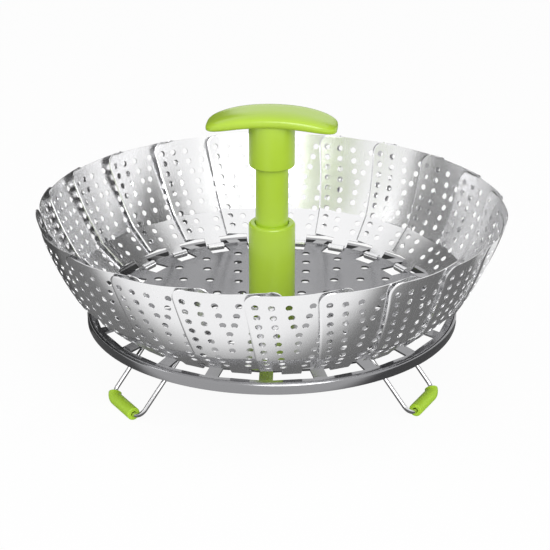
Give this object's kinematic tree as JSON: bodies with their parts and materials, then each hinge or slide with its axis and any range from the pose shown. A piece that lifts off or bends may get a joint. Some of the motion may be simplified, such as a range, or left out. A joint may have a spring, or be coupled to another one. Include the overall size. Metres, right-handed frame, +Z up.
{
  "type": "folding steamer basket",
  "caption": "Folding steamer basket: overlapping hinged steel petals round a perforated tray, a telescopic post with a T-grip and wire legs that fold under.",
  "frame": {"origin": "on the post's axis, at the floor that the feet stand on, basket open and legs out", "axes": "+Z up along the post, -Y towards the front as pictured, X along the T-grip"},
  "size_m": [0.2324, 0.233, 0.143],
  "materials": {
    "petal_steel": "satin stainless sheet",
    "tray_steel": "satin stainless sheet",
    "wire_steel": "polished stainless wire",
    "fixing_steel": "bright stainless",
    "green_plastic": "satin yellow-green",
    "green_rubber": "matt yellow-green silicone",
    "dark_rubber": "matt dark",
    "pale_plastic": "matt pale grey"
  },
  "bodies": {
    "base": {"base_tray": "tray_steel", "post_socket": "green_plastic", "socket_plug": "pale_plastic", "socket_screw": "fixing_steel", "screw_washer": "fixing_steel", "leg_bracket_left": "fixing_steel", "leg_rivet_left_1": "fixing_steel", "leg_rivet_left_2": "fixing_steel", "leg_bracket_right": "fixing_steel", "leg_rivet_right_1": "fixing_steel", "leg_rivet_right_2": "fixing_steel", "leg_bracket_rear": "fixing_steel", "leg_rivet_rear_1": "fixing_steel", "leg_rivet_rear_2": "fixing_steel"},
    "handle": {"handle_grip": "green_plastic", "post_tube": "green_plastic", "friction_ring": "dark_rubber"},
    "leg_left": {"leg_wire_left": "wire_steel", "leg_sleeve_left": "green_rubber"},
    "leg_right": {"leg_wire_right": "wire_steel", "leg_sleeve_right": "green_rubber"},
    "leg_rear": {"leg_wire_rear": "wire_steel", "leg_sleeve_rear": "green_rubber"},
    "petal_01": {"petal_01": "petal_steel"},
    "petal_02": {"petal_02": "petal_steel"},
    "petal_03": {"petal_03": "petal_steel"},
    "petal_04": {"petal_04": "petal_steel"},
    "petal_05": {"petal_05": "petal_steel"},
    "petal_06": {"petal_06": "petal_steel"},
    "petal_07": {"petal_07": "petal_steel"},
    "petal_08": {"petal_08": "petal_steel"},
    "petal_09": {"petal_09": "petal_steel"},
    "petal_10": {"petal_10": "petal_steel"},
    "petal_11": {"petal_11": "petal_steel"},
    "petal_12": {"petal_12": "petal_steel"},
    "petal_13": {"petal_13": "petal_steel"},
    "petal_14": {"petal_14": "petal_steel"},
    "petal_15": {"petal_15": "petal_steel"},
    "petal_16": {"petal_16": "petal_steel"},
    "petal_17": {"petal_17": "petal_steel"},
    "petal_18": {"petal_18": "petal_steel"},
    "petal_19": {"petal_19": "petal_steel"},
    "petal_20": {"petal_20": "petal_steel"},
    "petal_21": {"petal_21": "petal_steel"},
    "petal_22": {"petal_22": "petal_steel"}
  },
  "joints": [
    {"name": "handle_slide", "type": "slide", "parent": "base", "child": "handle", "axis": [0, 0, 1], "range_m": [-0.0295, 0]},
    {"name": "leg_hinge_left", "type": "hinge", "parent": "base", "child": "leg_left", "pos_m": [-0.0494, -0.03039, 0.03525], "axis": [0.524, -0.8517, 0], "range_deg": [0, 130]},
    {"name": "leg_hinge_right", "type": "hinge", "parent": "base", "child": "leg_right", "pos_m": [0.05102, -0.02759, 0.03525], "axis": [0.4756, 0.8796, 0], "range_deg": [0, 130]},
    {"name": "leg_hinge_rear", "type": "hinge", "parent": "base", "child": "leg_rear", "pos_m": [-0.00162, 0.05798, 0.03525], "axis": [-0.9996, -0.0279, 0], "range_deg": [0, 130]},
    {"name": "petal_01_hinge", "type": "hinge", "parent": "base", "child": "petal_01", "pos_m": [0.009, -0.0802, 0.0411], "axis": [-0.9938, -0.1115, 0], "range_deg": [-18, 80]},
    {"name": "petal_02_hinge", "type": "hinge", "parent": "base", "child": "petal_02", "pos_m": [0.03122, -0.07441, 0.0411], "axis": [-0.9221, -0.3869, 0], "range_deg": [-18, 80]},
    {"name": "petal_03_hinge", "type": "hinge", "parent": "base", "child": "petal_03", "pos_m": [0.05092, -0.0626, 0.0411], "axis": [-0.7757, -0.631, 0], "range_deg": [-18, 80]},
    {"name": "petal_04_hinge", "type": "hinge", "parent": "base", "child": "petal_04", "pos_m": [0.0665, -0.04572, 0.0411], "axis": [-0.5665, -0.824, 0], "range_deg": [-18, 80]},
    {"name": "petal_05_hinge", "type": "hinge", "parent": "base", "child": "petal_05", "pos_m": [0.07669, -0.02513, 0.0411], "axis": [-0.3114, -0.9503, 0], "range_deg": [-18, 80]},
    {"name": "petal_06_hinge", "type": "hinge", "parent": "base", "child": "petal_06", "pos_m": [0.08066, -0.00251, 0.0411], "axis": [-0.0311, -0.9995, 0], "range_deg": [-18, 80]},
    {"name": "petal_07_hinge", "type": "hinge", "parent": "base", "child": "petal_07", "pos_m": [0.0781, 0.02032, 0.0411], "axis": [0.2518, -0.9678, 0], "range_deg": [-18, 80]},
    {"name": "petal_08_hinge", "type": "hinge", "parent": "base", "child": "petal_08", "pos_m": [0.06921, 0.0415, 0.0411], "axis": [0.5142, -0.8577, 0], "range_deg": [-18, 80]},
    {"name": "petal_09_hinge", "type": "hinge", "parent": "base", "child": "petal_09", "pos_m": [0.05472, 0.05932, 0.0411], "axis": [0.735, -0.678, 0], "range_deg": [-18, 80]},
    {"name": "petal_10_hinge", "type": "hinge", "parent": "base", "child": "petal_10", "pos_m": [0.03579, 0.07233, 0.0411], "axis": [0.8963, -0.4435, 0], "range_deg": [-18, 80]},
    {"name": "petal_11_hinge", "type": "hinge", "parent": "base", "child": "petal_11", "pos_m": [0.01396, 0.07948, 0.0411], "axis": [0.9849, -0.173, 0], "range_deg": [-18, 80]},
    {"name": "petal_12_hinge", "type": "hinge", "parent": "base", "child": "petal_12", "pos_m": [-0.009, 0.0802, 0.0411], "axis": [0.9938, 0.1115, 0], "range_deg": [-18, 80]},
    {"name": "petal_13_hinge", "type": "hinge", "parent": "base", "child": "petal_13", "pos_m": [-0.03122, 0.07441, 0.0411], "axis": [0.9221, 0.3869, 0], "range_deg": [-18, 80]},
    {"name": "petal_14_hinge", "type": "hinge", "parent": "base", "child": "petal_14", "pos_m": [-0.05092, 0.0626, 0.0411], "axis": [0.7757, 0.631, 0], "range_deg": [-18, 80]},
    {"name": "petal_15_hinge", "type": "hinge", "parent": "base", "child": "petal_15", "pos_m": [-0.0665, 0.04572, 0.0411], "axis": [0.5665, 0.824, 0], "range_deg": [-18, 80]},
    {"name": "petal_16_hinge", "type": "hinge", "parent": "base", "child": "petal_16", "pos_m": [-0.07669, 0.02513, 0.0411], "axis": [0.3114, 0.9503, 0], "range_deg": [-18, 80]},
    {"name": "petal_17_hinge", "type": "hinge", "parent": "base", "child": "petal_17", "pos_m": [-0.08066, 0.00251, 0.0411], "axis": [0.0311, 0.9995, 0], "range_deg": [-18, 80]},
    {"name": "petal_18_hinge", "type": "hinge", "parent": "base", "child": "petal_18", "pos_m": [-0.0781, -0.02032, 0.0411], "axis": [-0.2518, 0.9678, 0], "range_deg": [-18, 80]},
    {"name": "petal_19_hinge", "type": "hinge", "parent": "base", "child": "petal_19", "pos_m": [-0.06921, -0.0415, 0.0411], "axis": [-0.5142, 0.8577, 0], "range_deg": [-18, 80]},
    {"name": "petal_20_hinge", "type": "hinge", "parent": "base", "child": "petal_20", "pos_m": [-0.05472, -0.05932, 0.0411], "axis": [-0.735, 0.678, 0], "range_deg": [-18, 80]},
    {"name": "petal_21_hinge", "type": "hinge", "parent": "base", "child": "petal_21", "pos_m": [-0.03579, -0.07233, 0.0411], "axis": [-0.8963, 0.4435, 0], "range_deg": [-18, 80]},
    {"name": "petal_22_hinge", "type": "hinge", "parent": "base", "child": "petal_22", "pos_m": [-0.01396, -0.07948, 0.0411], "axis": [-0.9849, 0.173, 0], "range_deg": [-18, 80]}
  ],
  "couplings": [
    {"joint": "petal_02_hinge", "follows": "petal_01_hinge", "ratio": 1},
    {"joint": "petal_03_hinge", "follows": "petal_01_hinge", "ratio": 1},
    {"joint": "petal_04_hinge", "follows": "petal_01_hinge", "ratio": 1},
    {"joint": "petal_05_hinge", "follows": "petal_01_hinge", "ratio": 1},
    {"joint": "petal_06_hinge", "follows": "petal_01_hinge", "ratio": 1},
    {"joint": "petal_07_hinge", "follows": "petal_01_hinge", "ratio": 1},
    {"joint": "petal_08_hinge", "follows": "petal_01_hinge", "ratio": 1},
    {"joint": "petal_09_hinge", "follows": "petal_01_hinge", "ratio": 1},
    {"joint": "petal_10_hinge", "follows": "petal_01_hinge", "ratio": 1},
    {"joint": "petal_11_hinge", "follows": "petal_01_hinge", "ratio": 1},
    {"joint": "petal_12_hinge", "follows": "petal_01_hinge", "ratio": 1},
    {"joint": "petal_13_hinge", "follows": "petal_01_hinge", "ratio": 1},
    {"joint": "petal_14_hinge", "follows": "petal_01_hinge", "ratio": 1},
    {"joint": "petal_15_hinge", "follows": "petal_01_hinge", "ratio": 1},
    {"joint": "petal_16_hinge", "follows": "petal_01_hinge", "ratio": 1},
    {"joint": "petal_17_hinge", "follows": "petal_01_hinge", "ratio": 1},
    {"joint": "petal_18_hinge", "follows": "petal_01_hinge", "ratio": 1},
    {"joint": "petal_19_hinge", "follows": "petal_01_hinge", "ratio": 1},
    {"joint": "petal_20_hinge", "follows": "petal_01_hinge", "ratio": 1},
    {"joint": "petal_21_hinge", "follows": "petal_01_hinge", "ratio": 1},
    {"joint": "petal_22_hinge", "follows": "petal_01_hinge", "ratio": 1}
  ]
}
